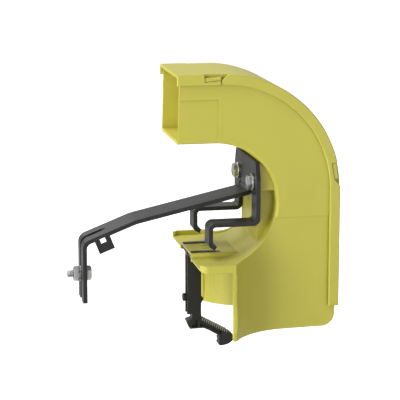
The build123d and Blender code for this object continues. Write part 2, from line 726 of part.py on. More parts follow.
# Claw of the hanger: ribbed beam with a hooked jaw
beam_top = [(x, beam_drop + (x - hanger_back) * beam_fall) for x in (beam_end_x, hanger_back)]
with BuildPart() as hanger_claw:
    with BuildSketch(side(0)) as claw_side:
        with BuildLine():
            Polyline(
                (claw_neck_x, -hanger_drop),
                under_post((claw_neck_x, beam_drop)),
                *[under_post(point) for point in claw_nose + claw_under],
            )
            ThreePointArc(*[under_post(point) for point in claw_under[-1:] + claw_bite])
            ThreePointArc(*[under_post(point) for point in claw_bite[-1:] + claw_bite_2])
            Line(under_post(claw_bite_2[-1]), under_post(claw_tip[0]))
            Spline(*[under_post(point) for point in claw_tip], under_post(beam_top[0]))
            Polyline(
                *[under_post(point) for point in beam_top],
                (hanger_back, -hanger_drop),
                (claw_neck_x, -hanger_drop),
            )
        make_face()
    extrude(amount=claw_half, both=True)
    for y in (-claw_half, claw_half):
        for outline in (claw_pocket_1, claw_pocket_2):
            with BuildSketch(side(y)) as recess:
                with BuildLine():
                    Polyline(*[under_post(point) for point in outline], close=True)
                make_face()
            extrude(amount=claw_pocket, both=True, mode=Mode.SUBTRACT)
    for i in range(grip_count):
        grip_x = grip_x0 + (i + 0.5) * grip_pitch * cos(atan(beam_fall))
        with BuildSketch(side(0)) as grip:
            with Locations(under_post((grip_x, beam_drop + (grip_x - hanger_back) * beam_fall))):
                Rectangle(grip_pitch / 2, 2 * grip_h, rotation=-degrees(atan(beam_fall)))
        extrude(amount=claw_half, both=True)
    with BuildSketch(plan(-hanger_drop)) as stem_plan:
        with Locations((claw_neck_x, 0)):
            Rectangle(
                hanger_back - hanger_t - claw_neck_x,
                2 * (hanger_half - hanger_t - hanger_fit),
                align=(Align.MIN, Align.CENTER),
            )
    extrude(amount=claw_stem)
    with BuildSketch(across(claw_neck_x)) as stem_hole:
        with Locations((0, -pin_drop)):
            Circle(pin_d / 2)
    extrude(amount=hanger_back - claw_neck_x, mode=Mode.SUBTRACT)
hanger_claw.part.label = "hanger_claw"

# Pin that holds the claw in the post
with BuildPart() as hanger_pin:
    with BuildSketch(across(hanger_x)) as pin_head:
        with Locations((0, -pin_drop)):
            Circle(pin_head_d / 2)
    extrude(amount=-pin_head_h)
    fillet(hanger_pin.faces().sort_by(Axis.X)[0].edges(), 0.8)
    with BuildSketch(across(hanger_x)) as pin_shank:
        with Locations((0, -pin_drop)):
            Circle(pin_d / 2)
    extrude(amount=hanger_back - hanger_x)
hanger_pin.part.label = "hanger_pin"

export_step(duct_base.part, "parts/duct_base.step")
export_step(duct_cover.part, "parts/duct_cover.step")
export_step(mounting_bracket.part, "parts/mounting_bracket.step")
export_step(plate_bolt_near, "parts/plate_bolt_near.step")
export_step(plate_bolt_far, "parts/plate_bolt_far.step")
export_step(insert_near, "parts/insert_near.step")
export_step(insert_far, "parts/insert_far.step")
export_step(arm_bolt.part, "parts/arm_bolt.step")
export_step(arm_tooth_washer.part, "parts/arm_tooth_washer.step")
export_step(arm_nut.part, "parts/arm_nut.step")
export_step(hanger_post.part, "parts/hanger_post.step")
export_step(hanger_claw.part, "parts/hanger_claw.step")
export_step(hanger_pin.part, "parts/hanger_pin.step")
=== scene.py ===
# %% [markdown]
# The object is a fitting for fibre raceway: a yellow moulded duct that turns from a
# level run down into a flared trumpet mouth. A clipped cover closes its outer side, a
# folded and black-coated steel bracket carries it on a rack rail, and a small black
# hanger with a ribbed claw hangs under the shelf of the mouth. The construction comes
# in as a fixed frame, in metres, with its origin at the centre of the inlet. This
# script gives it finishes, adds the small turned pieces, ribs and beads, and lights it.

import math

import bmesh
import bpy
import numpy as np
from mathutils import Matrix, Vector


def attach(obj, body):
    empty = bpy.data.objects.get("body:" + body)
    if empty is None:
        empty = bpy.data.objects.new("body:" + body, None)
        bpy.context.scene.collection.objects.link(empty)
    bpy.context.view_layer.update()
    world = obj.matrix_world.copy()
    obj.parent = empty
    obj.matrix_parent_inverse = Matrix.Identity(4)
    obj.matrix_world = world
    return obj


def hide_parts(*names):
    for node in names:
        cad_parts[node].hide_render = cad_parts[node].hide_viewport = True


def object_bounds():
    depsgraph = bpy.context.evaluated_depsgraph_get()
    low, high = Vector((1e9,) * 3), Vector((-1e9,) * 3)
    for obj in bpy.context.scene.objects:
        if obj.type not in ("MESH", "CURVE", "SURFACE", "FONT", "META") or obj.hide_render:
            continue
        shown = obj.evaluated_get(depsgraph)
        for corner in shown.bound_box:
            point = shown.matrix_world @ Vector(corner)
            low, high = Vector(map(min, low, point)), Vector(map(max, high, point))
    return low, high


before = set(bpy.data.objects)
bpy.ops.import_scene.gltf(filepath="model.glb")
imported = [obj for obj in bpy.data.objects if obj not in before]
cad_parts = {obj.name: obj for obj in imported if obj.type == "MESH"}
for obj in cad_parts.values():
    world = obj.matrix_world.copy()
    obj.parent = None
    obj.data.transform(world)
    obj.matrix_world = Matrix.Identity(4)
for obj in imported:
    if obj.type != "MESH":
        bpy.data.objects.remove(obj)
cad_low, cad_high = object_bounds()
middle = tuple((cad_low + cad_high) / 2)
print("pieces in the frame:", len(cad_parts))

# %% [markdown]
# The camera stands at the left of the fitting and a little above it, far away with a
# long lens, so that the level edges hardly converge. Its place can be found by eye, or
# by matching a few corners of known size, which is what was done here: the length of
# the lens, two angles and the distance are then plain numbers. A camera that looks
# along +Y is turned to the right by its azimuth and tipped down by its elevation.

# %% Camera
MM = 0.001
camera_place = (-230.03 * MM, -1307.63 * MM, 191.26 * MM)
camera_azimuth = math.radians(11.06)
camera_elevation = math.radians(11.58)
film_width = 36.0
lens_length = 146.73

camera_data = bpy.data.cameras.new("camera")
camera_data.sensor_width = film_width
camera_data.lens = lens_length
camera = bpy.data.objects.new("camera", camera_data)
camera.location = camera_place
camera.rotation_euler = (math.pi / 2 - camera_elevation, 0.0, -camera_azimuth)
bpy.context.scene.collection.objects.link(camera)
bpy.context.scene.camera = camera
print("camera distance in metres:", round(math.dist(camera_place, middle), 3))

# %% [markdown]
# Every finish below is worked out by nodes from the place on the surface. The nodes
# could be wired by hand, but sums are easier to read than wires, so one small class
# wraps a socket and turns + - * into Math nodes.

# %% Sums of sockets
class Value:
    """A number that varies over the surface: an output socket with arithmetic."""

    def __init__(self, nodes, socket):
        self.nodes = nodes
        self.socket = socket

    def sum(self, operation, left, right):
        """The Math node of an operation on two values or numbers."""
        return self.nodes.node("ShaderNodeMath", {"operation": operation}, {0: left, 1: right})

    def __add__(self, other):
        return self.sum("ADD", self, other)

    def __sub__(self, other):
        return self.sum("SUBTRACT", self, other)

    def __mul__(self, other):
        return self.sum("MULTIPLY", self, other)

    def __rsub__(self, other):
        return self.sum("SUBTRACT", other, self)

    __radd__ = __add__
    __rmul__ = __mul__


print("values can be added, subtracted and multiplied")

# %% [markdown]
# A material and the world are both trees of nodes, so they share one class. One of its
# methods makes any node that isn't a sum, the other fills a socket with a number, a
# colour or a link. That is all the wiring that the finishes and the studio need.

# %% Trees of nodes
class Nodes:
    """A node tree, of a material or of the world."""

    def __init__(self, tree):
        self.tree = tree

    def join(self, socket, value):
        """Links a Value to a socket, or sets the socket; a colour of three gets its alpha."""
        if isinstance(value, Value):
            self.tree.links.new(value.socket, socket)
        elif isinstance(value, tuple) and len(value) == 3 and len(socket.default_value) == 4:
            socket.default_value = (*value, 1.0)
        else:
            socket.default_value = value

    def node(self, kind, settings=None, sockets=None, output=0):
        """Adds a node: first its settings, then the values or links of its sockets."""
        made = self.tree.nodes.new(kind)
        for name, value in (settings or {}).items():
            setattr(made, name, value)
        for name, value in (sockets or {}).items():
            self.join(made.inputs[name], value)
        return Value(self, made.outputs[output])


print("a tree of nodes can:", [name for name in vars(Nodes) if name[0] != "_"])

# %% [markdown]
# A finish is a tree with its main shader. Each pattern on it reads the place on the
# object, so it is as large on every piece as on the real one and stays where it is when
# the piece is seen from elsewhere. Images could do that too, but they would need each
# piece unwrapped.

# %% Finishes
# Places of the colour sockets of a Mix node, whose names repeat for each kind of data.
MIX_SHARE, MIX_LOW, MIX_HIGH, MIX_RESULT = 0, 6, 7, 2


class Finish(Nodes):
    """A material under construction, with its main shader."""

    def __init__(self, name, **shader):
        self.material = bpy.data.materials.new(name)
        self.material.use_nodes = True
        super().__init__(self.material.node_tree)
        self.shader = self.tree.nodes["Principled BSDF"]
        self.set(**shader)

    def set(self, **values):
        """Sets or links sockets of the main shader; an underscore stands for a space."""
        for name, value in values.items():
            socket_name = name.replace("_", " ").title().replace("Ior", "IOR")
            self.join(self.shader.inputs[socket_name], value)

    def place(self):
        """Coordinates on the object, in metres from the frame's origin."""
        return self.node("ShaderNodeTexCoord", output="Object")

    def noise(self, size, detail=2.0, seed=(0.0, 0.0, 0.0)):
        """Soft random pattern about 0.5, whose spots are as large as size, in metres."""
        moved = self.node("ShaderNodeMapping", {}, {"Vector": self.place(), "Location": seed})
        sockets = {"Vector": moved, "Scale": 1.0 / size, "Detail": detail}
        return self.node("ShaderNodeTexNoise", {"noise_dimensions": "3D"}, sockets)

    def bump(self, height, strength, distance, over=None):
        """Normal that leans as the surface would if height raised it by distance at
        most; over is the bump that this one lies on."""
        sockets = {"Strength": strength, "Distance": distance, "Height": height}
        if over is not None:
            sockets["Normal"] = over
        return self.node("ShaderNodeBump", {}, sockets)

    def blend(self, share, low, high):
        """Colour that goes from low to high with share."""
        sockets = {MIX_SHARE: share, MIX_LOW: low, MIX_HIGH: high}
        return self.node("ShaderNodeMix", {"data_type": "RGBA"}, sockets, MIX_RESULT)


# %% [markdown]
# Colours are easiest to choose as they look on a screen, from 0 to 255. Shaders count
# in light, of which a screen shows the dark part much brighter than it is, so each
# colour is turned into light before it goes into a socket.

# %% Colours
def linear(*colour):
    """Screen colour from 0 to 255 as the linear light that shaders count in."""
    c = np.array(colour) / 255.0
    light = np.where(c <= 0.04045, c / 12.92, ((c + 0.055) / 1.055) ** 2.4)
    return tuple(float(part) for part in light)


bright_yellow, deep_yellow = linear(226, 218, 92), linear(220, 212, 86)
print("yellow in linear light:", [round(part, 3) for part in bright_yellow])

# %% [markdown]
# Edges tell an eye what a thing is made of. On the real fitting they are rounded by the
# mould or the press. Here they are also painted paler, which is a painted highlight (on the
# steel partly also a thinner coat), and the corners between faces get painted shade, darker
# where light doesn't reach them. The round could be modelled, but a Bevel node bends only
# the light and leaves the sizes as they are. The same node finds the edges: there its
# normal leans away from the true one.

# %% Edges and corners
EDGE_SAMPLES = 6
CORNER_SAMPLES = 8
LEAN_START, LEAN_FULL = 0.03, 0.25


def soft_edges(finish, radius, bump):
    """Turns the normal near an edge as if the edge were rounded by radius."""
    sockets = {"Radius": radius, "Normal": bump}
    return finish.node("ShaderNodeBevel", {"samples": EDGE_SAMPLES}, sockets)


def painted_corner_shade(finish, colour, depth, darkest):
    """Painted shade: colour that sinks to a share of itself in corners, as the lack of light in
    a corner grows with how much of its sky, out to depth, is covered."""
    settings = {"samples": CORNER_SAMPLES}
    sky = finish.node("ShaderNodeAmbientOcclusion", settings, {"Distance": depth}, "AO")
    shade = sky * (1 - darkest) + darkest
    scale = {"operation": "SCALE"}
    return finish.node("ShaderNodeVectorMath", scale, {0: colour, "Scale": shade})


def edge_share(finish, radius):
    """1 on an edge and 0 on a flat: how far the rounded normal leans from the true one."""
    rounded = finish.node("ShaderNodeBevel", {"samples": EDGE_SAMPLES}, {"Radius": radius})
    true = finish.node("ShaderNodeNewGeometry", output="True Normal")
    dot = {"operation": "DOT_PRODUCT"}
    along = finish.node("ShaderNodeVectorMath", dot, {0: rounded, 1: true}, "Value")
    sockets = {"Value": 1 - along, "From Min": LEAN_START, "From Max": LEAN_FULL}
    return finish.node("ShaderNodeMapRange", {}, sockets)


full_lean = math.degrees(math.acos(1 - LEAN_FULL))
print("an edge counts in full at a lean of", round(full_lean), "degrees")

# %% [markdown]
# The duct and its cover are moulded in a yellow plastic, the hanger in a black one. The
# real surface is satin: the mould has a fine spark-eroded grain, thick spots sink a
# little, and the colour is even to within a few percent. Grain and slow waves could be
# two textures of colour, but on the real thing they only move the light, so both go
# into one bump and hardly touch the colour.

# %% Moulded plastic
PLASTIC_GLOSS = 0.5
SINK_SIZE, SINK_HEIGHT, SINK_STRENGTH = 28 * MM, 0.4 * MM, 0.35
GRAIN_SIZE, GRAIN_HEIGHT, GRAIN_STRENGTH = 0.35 * MM, 0.02 * MM, 0.25
GRAIN_PLACE = (0.3, 0.1, 0.7)
PLASTIC_SHADE_REACH, PLASTIC_SHADE_DARKEST = 10 * MM, 0.6
HIGHLIGHT_WHITENESS, EDGE_HIGHLIGHT_WEIGHT = 0.15, 0.6
UNEVEN = 0.06


def moulded_plastic(name, colour, deep, roughness, edge=0.45 * MM):
    """Satin plastic: even colour, paler edges as a painted highlight, painted shade in corners,
    slow waves, fine mould grain.
    """
    finish = Finish(name, specular_ior_level=PLASTIC_GLOSS)
    slow = finish.noise(SINK_SIZE, detail=1.0)
    grain = finish.noise(GRAIN_SIZE, detail=2.0, seed=GRAIN_PLACE)
    waves = finish.bump(slow, SINK_STRENGTH, SINK_HEIGHT)
    grained = finish.bump(grain, GRAIN_STRENGTH, GRAIN_HEIGHT, over=waves)
    even = finish.blend(slow, deep, colour)
    # Painted shade: the colour darkens in the corners.
    body = painted_corner_shade(finish, even, PLASTIC_SHADE_REACH, PLASTIC_SHADE_DARKEST)
    # Painted highlight: a paler colour along the edges.
    pale = tuple((1 - HIGHLIGHT_WHITENESS) * part + HIGHLIGHT_WHITENESS for part in colour)
    finish.set(
        base_color=finish.blend(edge_share(finish, edge) * EDGE_HIGHLIGHT_WEIGHT, body, pale),
        roughness=slow * UNEVEN + grain * UNEVEN + (roughness - UNEVEN),
        normal=soft_edges(finish, edge, grained),
    )
    return finish.material


duct_yellow = moulded_plastic("duct_yellow", bright_yellow, deep_yellow, 0.42)
cover_yellow = moulded_plastic("cover_yellow", bright_yellow, deep_yellow, 0.40)
hanger_black = moulded_plastic(
    "hanger_black", linear(33, 33, 29), linear(28, 28, 25), 0.34, edge=0.3 * MM
)
print("moulded finishes:", [duct_yellow.name, cover_yellow.name, hanger_black.name])

# %% [markdown]
# The claw of the hanger has small cross ribs, and a painted highlight makes their crests
# pale. A map of it could be painted or found from the curvature of the mesh, but the ribs
# are too small for that. They stand at an even pitch along X, so a cosine of the distance
# along the beam is 1 on each crest, and a limit on it leaves the pale stripes. The numbers
# of the beam are given here once, and the ribs themselves are built from them further on.

# %% Painted highlights on the ribs
BEND_CENTRE = np.array([30.7, 0.0, -79.1])  # in mm from the frame's origin
BEAM_FALL = 0.555
RIB_SPACING = 2.0
FLAT_END = -3.2
RIB_PITCH = RIB_SPACING * math.cos(math.atan(BEAM_FALL))
FIRST_RIB = FLAT_END + RIB_PITCH / 2
HIGHLIGHT_START, HIGHLIGHT_FULL, HIGHLIGHT_RAGGED = 0.25, 0.95, 0.3
CREST_GRAIN, CREST_UNEVEN = 0.5 * MM, 0.1


def ribs_with_painted_highlight(name, colour, pale_colour, roughness, first_x, pitch):
    """Black plastic with a painted highlight on its ribs: the share of the pale colour is a
    cosine of the distance along the beam, cut off below the crests."""
    finish = Finish(name, specular_ior_level=PLASTIC_GLOSS)
    grain = finish.noise(CREST_GRAIN, detail=2.0)
    along = finish.node("ShaderNodeSeparateXYZ", {}, {"Vector": finish.place()})
    turns = (along - first_x) * (2 * math.pi / pitch)
    crest = finish.node("ShaderNodeMath", {"operation": "COSINE"}, {0: turns})
    ragged = crest + grain * HIGHLIGHT_RAGGED
    sockets = {"Value": ragged, "From Min": HIGHLIGHT_START, "From Max": HIGHLIGHT_FULL}
    share = finish.node("ShaderNodeMapRange", {}, sockets)
    # Painted highlight: the crests of the ribs are pale.
    finish.set(
        base_color=finish.blend(share, colour, pale_colour),
        roughness=grain * CREST_UNEVEN + (roughness - CREST_UNEVEN / 2),
    )
    return finish.material


first_rib_place = float(FIRST_RIB + BEND_CENTRE[0]) * MM
# The second colour is the painted highlight on the crests of the ribs.
rib_black = ribs_with_painted_highlight(
    "rib_black", linear(30, 30, 28), linear(165, 165, 150), 0.38, first_rib_place, RIB_PITCH * MM
)
print("pitch of the ribs along X in mm:", round(RIB_PITCH, 3))

# %% [markdown]
# The bracket is folded from 3.5 mm steel strip and coated black. The coat is thin and has
# the faint orange peel of sprayed powder. Along the sheared edges it is lighter, partly
# where the coat is thinnest and partly as a painted highlight, and its corners and slots
# get painted shade. Coat and steel could be two shaders, mixed where the coat is rubbed
# through. Here it is nowhere rubbed through, so one shader with a paler edge is enough.

# %% Black-coated steel
PEEL_SIZE, PEEL_HEIGHT, PEEL_STRENGTH = 1.1 * MM, 0.05 * MM, 0.3
PATCH_SIZE = 17 * MM
STEEL_SHADE_REACH, STEEL_SHADE_DARKEST = 8 * MM, 0.25
STEEL_WEAR_AND_HIGHLIGHT, STEEL_ROUND = 0.6 * MM, 0.5 * MM
STEEL_GLOSS, STEEL_SMOOTHEST, STEEL_UNEVEN = 0.5, 0.33, 0.12


def coated_steel(name, dark, light, pale_colour):
    """Satin black coat with orange peel, thinner and lighter along the edges, the lighter colour
    partly a painted highlight, with painted shade in corners.
    """
    finish = Finish(name, specular_ior_level=STEEL_GLOSS)
    peel = finish.noise(PEEL_SIZE, detail=1.0)
    patches = finish.noise(PATCH_SIZE, detail=2.0)
    bumped = finish.bump(peel, PEEL_STRENGTH, PEEL_HEIGHT)
    coat = finish.blend(patches, dark, light)
    # Painted shade: the coat darkens in corners and slots.
    coat = painted_corner_shade(finish, coat, STEEL_SHADE_REACH, STEEL_SHADE_DARKEST)
    finish.set(
        # Lighter along the edges: partly the thin coat, partly a painted highlight.
        base_color=finish.blend(edge_share(finish, STEEL_WEAR_AND_HIGHLIGHT), coat, pale_colour),
        roughness=patches * STEEL_UNEVEN + STEEL_SMOOTHEST,
        normal=soft_edges(finish, STEEL_ROUND, bumped),
    )
    return finish.material


# The third colour is the lighter edge, partly thin coat and partly painted highlight.
bracket_black = coated_steel(
    "bracket_black", linear(32, 32, 33), linear(38, 38, 39), linear(84, 84, 82)
)
print("coated finish:", bracket_black.name)

# %% [markdown]
# Bolts, nut and washer are steel with bright zinc, and the hidden inserts are brass.
# Zinc plate is greyer and softer than chrome, with a faint warm and cool cast where the
# passivation is thicker. A metal has no colour of its own but that of its reflections,
# so its tint stays close to white and the roughness does the rest.

# %% Zinc plate and brass
CAST_SIZE, SCUFF_SIZE = 3.0 * MM, 0.6 * MM
SCUFF_HEIGHT, SCUFF_STRENGTH, SCUFF_ROUGHNESS = 0.02 * MM, 0.2, 0.18
METAL_SHADE_REACH, METAL_SHADE_DARKEST = 2.5 * MM, 0.35
METAL_ROUND = 0.25 * MM


def plated(name, warm, cool, roughness):
    """Plated metal whose tint wanders between warm and cool, with painted shade in corners."""
    finish = Finish(name, metallic=1.0)
    cast = finish.noise(CAST_SIZE, detail=2.0)
    scuffs = finish.noise(SCUFF_SIZE, detail=3.0)
    tint = finish.blend(cast, warm, cool)
    scuffed = finish.bump(scuffs, SCUFF_STRENGTH, SCUFF_HEIGHT)
    # Painted shade: the tint darkens in the corners.
    finish.set(
        base_color=painted_corner_shade(finish, tint, METAL_SHADE_REACH, METAL_SHADE_DARKEST),
        roughness=scuffs * SCUFF_ROUGHNESS + (roughness - SCUFF_ROUGHNESS / 2),
        normal=soft_edges(finish, METAL_ROUND, scuffed),
    )
    return finish.material


zinc = plated("zinc", linear(216, 215, 210), linear(202, 204, 208), 0.28)
# A lighter, rougher copy of the zinc: painted light for the lock washer, so that its teeth read
# bright.
washer_zinc_painted_lighter = plated("washer_zinc_painted_lighter", linear(250, 250, 247), linear(244, 245, 248), 0.5)
brass = plated("brass", linear(205, 170, 95), linear(196, 160, 88), 0.35)
print("metals:", [zinc.name, washer_zinc_painted_lighter.name, brass.name])

# %% [markdown]
# Each piece of the frame gets the finish of the real one. The bolts, nut and washer are
# dressed too, although better ones replace them below. The names in this table are the
# frame's own, so a piece that was renamed or left out would stop the script here.

# %% Dress the frame
node_finish = {
    "duct_base": duct_yellow,
    "duct_cover": cover_yellow,
    "mounting_bracket": bracket_black,
    "plate_bolt_near": zinc,
    "plate_bolt_far": zinc,
    "insert_near": brass,
    "insert_far": brass,
    "arm_bolt": zinc,
    "arm_nut": zinc,
    "arm_tooth_washer": zinc,
    "hanger_post": hanger_black,
    "hanger_claw": hanger_black,
    "hanger_pin": hanger_black,
}
for node_name, node_material in node_finish.items():
    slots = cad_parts[node_name].data.materials
    slots.clear()
    slots.append(node_material)
print("nodes dressed:", len(node_finish))

# %% [markdown]
# Bolts, nut and washer are small, but they are what an eye looks for on a bracket. Each
# is a turned form. It could be cut from a cylinder step by step, or worked out as a grid
# at once: the rows are stations along the axis, the columns are angles round it, and
# every point needs only a radius. The grid is the shorter way and leaves no stray faces.

# %% Surfaces from arrays
def grid_quads(rows, columns, closed_rows=False):
    """Faces of a grid whose columns run round: each joins a point, the one beside it
    and both in the next row. With closed_rows the last row meets the first."""
    count = rows if closed_rows else rows - 1
    row, column = np.meshgrid(np.arange(count), np.arange(columns), indexing="ij")
    below, beside = (row + 1) % rows, (column + 1) % columns
    corners = [(row, column), (row, beside), (below, beside), (below, column)]
    return np.stack([r * columns + c for r, c in corners], axis=-1).reshape(-1, 4).tolist()


def close_ends(grid, first, last):
    """Closes a grid of rings with one point at each end and a fan of triangles to it."""
    rows, columns = grid.shape[:2]
    points = np.concatenate([grid.reshape(-1, 3), [first, last]])
    ring = np.arange(columns)
    beside = (ring + 1) % columns
    fans = []
    for pole, start in ((rows * columns, 0), (rows * columns + 1, (rows - 1) * columns)):
        fan = np.stack([np.full(columns, pole), start + ring, start + beside], axis=-1)
        fans += fan.tolist()
    return points, grid_quads(rows, columns) + fans


print("faces of a closed grid of 6 by 12:", len(grid_quads(6, 12, closed_rows=True)))

# %% [markdown]
# Each grid becomes a piece of the object. Its place is in its points, so the object
# itself stays at the origin, unturned, and the patterns on it don't slide. Faces are
# turned outwards here once for all, because a grid that runs the other way round would
# be inside out.

# %% Pieces from points
def make_piece(name, points, faces, material, crease):
    """Makes a closed mesh of points in millimetres from the centre of the bend. Edges
    that turn by more than crease, in degrees, stay sharp."""
    mesh = bpy.data.meshes.new(name)
    mesh.from_pydata(((points + BEND_CENTRE) * MM).tolist(), [], faces)
    work = bmesh.new()
    work.from_mesh(mesh)
    bmesh.ops.recalc_face_normals(work, faces=work.faces)
    work.to_mesh(mesh)
    work.free()
    mesh.shade_smooth()
    mesh.set_sharp_from_angle(angle=math.radians(crease))
    mesh.materials.append(material)
    piece = bpy.data.objects.new(name, mesh)
    bpy.context.scene.collection.objects.link(piece)
    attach(piece, "root")
    print(name, "faces:", len(mesh.polygons))
    return piece


print("points are given from the centre of the bend, in mm:", BEND_CENTRE.tolist())

# %% [markdown]
# A hexagon is a radius that depends on the angle, and a chamfer is a smaller limit on
# that radius. A head could also be a prism with its corners cut, but the limits give
# the curved edge where a cone cuts a flat, which catches the light on a real one. The
# hardware is quarter-inch, so its sizes are known in advance.

# %% Hexagons
TURN = np.radians(np.arange(0.0, 360.0, 3.75))
HEX_WIDTH = 11.1


def hexagon(turn_of_corner=0.0):
    """Radius of a hexagon: half its width over the cosine of the angle from the nearest
    flat."""
    sixth = math.pi / 3
    from_flat = (TURN - turn_of_corner + sixth / 2) % sixth - sixth / 2
    return HEX_WIDTH / 2 / np.cos(from_flat)


def around_axis(x, radius, y, z):
    """Rings of points: x along the axis, and y and z at the radius round it."""
    return np.stack(
        [
            np.broadcast_to(x, radius.shape),
            y + radius * np.cos(TURN),
            z + radius * np.sin(TURN),
        ],
        axis=-1,
    )


def limited_rings(stations, hexagonal):
    """Heights and radii of stations, each a height, a limit on the radius, and 1 where
    the radius is that of the hexagon, cut down to the limit, or 0 for a plain circle."""
    height, limit, is_hexagon = np.array(stations).T[:, :, None]
    radius = np.where(is_hexagon > 0, np.minimum(limit, hexagonal), limit)
    return height, radius * np.ones_like(TURN)


print("width across the corners in mm:", round(2 * float(hexagon().max()), 2))

# %% [markdown]
# A thread is a ridge that moves on by one pitch for each turn. A spiral profile could be
# carried round, but it would have to be joined to the shank. As a radius it is part of
# the same rings as the head and needs no join.

# %% Heads and threads
THREAD_PITCH = 1.27
CREST, ROOT = 3.175, 2.45
BOLT_CREASE = 28.0


def head_rings(top, hexagonal):
    """Heights and radii of a bolt head: dished top, chamfered hexagon, round flange."""
    dish = [(top - 0.35, 2.4, 0), (top - 0.3, 3.2, 0), (top, 3.8, 0), (top, 4.8, 0)]
    chamfer = [(top - 0.12, 5.2, 0), (top - 0.3, 5.6, 1), (top - 0.5, 6.0, 1)]
    flats = [(top - 0.75, 9.0, 1), (1.75, 9.0, 1)]
    flange = [(1.45, 6.55, 0), (1.15, 7.0, 0), (0.75, 7.1, 0), (0.25, 7.1, 0), (0.0, 6.85, 0)]
    neck = [(0.0, ROOT, 0)]
    return limited_rings(dish + chamfer + flats + flange + neck, hexagonal)


def threaded_rings(x_start, x_end, step=0.09, run_out=0.7, sharpness=1.25):
    """Radii of a thread: a triangle wave of x over the pitch, less the share of a turn,
    which fades out towards both ends."""
    x = np.linspace(x_start, x_end, int(abs(x_end - x_start) / step))[:, None]
    wave = 1 - np.abs(2 * ((x / THREAD_PITCH - TURN / (2 * math.pi)) % 1) - 1)
    from_ends = np.minimum(np.abs(x - x_start), np.abs(x - x_end)) / run_out
    ridge = np.clip(wave * sharpness, 0, 1) * np.clip(from_ends, 0, 1)
    return x, ROOT + (CREST - ROOT) * ridge


print("stations of a bolt head:", len(head_rings(5.0, hexagon())[0]))

# %% [markdown]
# The fork is held by a flanged bolt that points to the left. Its head is low, and past
# the nut a few turns of thread stand free. The two bolts on the plate are of the same
# kind with their heads to the left, turned so that a corner shows.

# %% Bolts
FORK_BOLT_Z = -60.7
TIP_LENGTH = 0.35
CORNER_ACROSS = math.pi / 6


def flanged_bolt(name, node, bearing_x, towards, y, z, top, length, thread_x, corner):
    """Bolt along X: head rings, a plain shank, a threaded end and a point at each end."""
    height, radius = head_rings(top, hexagon(corner))
    x_tip = bearing_x - towards * length
    x_thread, thread = threaded_rings(thread_x, x_tip + towards * TIP_LENGTH)
    x = np.concatenate([bearing_x + towards * height, x_thread, [[x_tip]]])
    tip = np.full((1, TURN.size), ROOT - TIP_LENGTH)
    grid = around_axis(x, np.concatenate([radius, thread, tip]), y, z)
    points, faces = close_ends(grid, (x[0, 0], y, z), (x_tip, y, z))
    bolt = make_piece(name, points, faces, zinc, BOLT_CREASE)
    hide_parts(node)


flanged_bolt(
    "fork_bolt", "arm_bolt", bearing_x=-102.4, towards=1, y=0.0, z=FORK_BOLT_Z,
    top=5.2, length=15.0, thread_x=-111.2, corner=0.0,
)
for side, y in (("near", -27.7), ("far", 27.7)):
    flanged_bolt(
        "plate_screw_" + side, "plate_bolt_" + side, bearing_x=33.4, towards=-1, y=y, z=16.6,
        top=5.0, length=12.0, thread_x=38.0, corner=CORNER_ACROSS,
    )

# %% [markdown]
# The nut is a ring with the same hexagon outside, chamfered at both faces, and a bore
# with a small countersink. Its section could be turned and then cut to six sides, but
# the limits on the radius do both at once. The rows go round the section and meet again.

# %% Nut
NUT_FACE, NUT_HEIGHT = -107.1, 5.2
low_face = [(0.0, 3.4, 0), (0.0, 5.2, 0), (0.25, 5.6, 1), (0.5, 6.0, 1), (0.75, 9.0, 1)]
high_face = [
    (NUT_HEIGHT - 0.75, 9.0, 1), (NUT_HEIGHT - 0.5, 6.0, 1), (NUT_HEIGHT - 0.25, 5.6, 1),
    (NUT_HEIGHT, 5.2, 0), (NUT_HEIGHT, 3.5, 0),
]
bore = [(NUT_HEIGHT - 0.5, 3.0, 0), (0.4, 3.0, 0)]
height, radius = limited_rings(low_face + high_face + bore, hexagon())
nut_grid = around_axis(NUT_FACE - height, radius, 0.0, FORK_BOLT_Z)
nut_faces = grid_quads(len(height), TURN.size, closed_rows=True)
nut = make_piece("fork_nut", nut_grid.reshape(-1, 3), nut_faces, zinc, BOLT_CREASE)
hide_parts("arm_nut")

# %% [markdown]
# The lock washer is stamped from thin strip and its teeth are twisted like the blades of
# a fan, so that each bites the strap with one corner. Teeth could be made one by one
# and joined, but then each joint would need care. One ring whose rim and lean follow the
# angle has no joints at all.

# %% Toothed washer
def toothed_ring(middle_x, y, z, teeth=12, fine=288):
    """Ring whose rim steps out at each tooth; a tooth leans along the axis in proportion
    to its distance from its own middle and from the ring's body."""
    bore_radius, body_radius, root_height, tooth_height = 3.5, 4.9, 0.5, 1.0
    tooth_width, flank_width = 0.68, 0.1
    half_thick, twist, twist_reach = 0.27, 0.75, 1.5
    turn = np.linspace(0, 2 * math.pi, fine, endpoint=False)
    across = 2 * ((turn * teeth / (2 * math.pi)) % 1) - 1
    stands = np.clip((tooth_width - np.abs(across)) / flank_width, 0, 1)
    rim = body_radius + root_height + tooth_height * stands
    body, bore = np.full(fine, body_radius), np.full(fine, bore_radius)
    radius = np.stack([bore, body, rim, rim, body, bore])
    side = np.array([1, 1, 1, -1, -1, -1])[:, None] * half_thick
    lean = twist * across * np.clip((radius - body_radius) / twist_reach, 0, 1)
    grid = np.stack(
        [middle_x + side + lean, y + radius * np.cos(turn), z + radius * np.sin(turn)], axis=-1
    )
    return grid.reshape(-1, 3), grid_quads(len(radius), fine, closed_rows=True)


points, faces = toothed_ring(-106.5, 0.0, FORK_BOLT_Z)
# The washer gets the lighter copy of the zinc, painted light so that its teeth read bright.
washer = make_piece("lock_washer", points, faces, washer_zinc_painted_lighter, 25.0)
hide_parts("arm_tooth_washer")

# %% [markdown]
# The upper face of the claw's beam is moulded with small cross ribs that grip a tie or a
# cable. Each rib could be a small bar, but a row of bars meets the beam in sharp lines
# that the moulding doesn't have. So they are one wavy skin: a height that follows a
# cosine along the beam and rises a little towards both edges. The ribs run a little way
# down both sides, and the skin closes underneath, inside the beam.

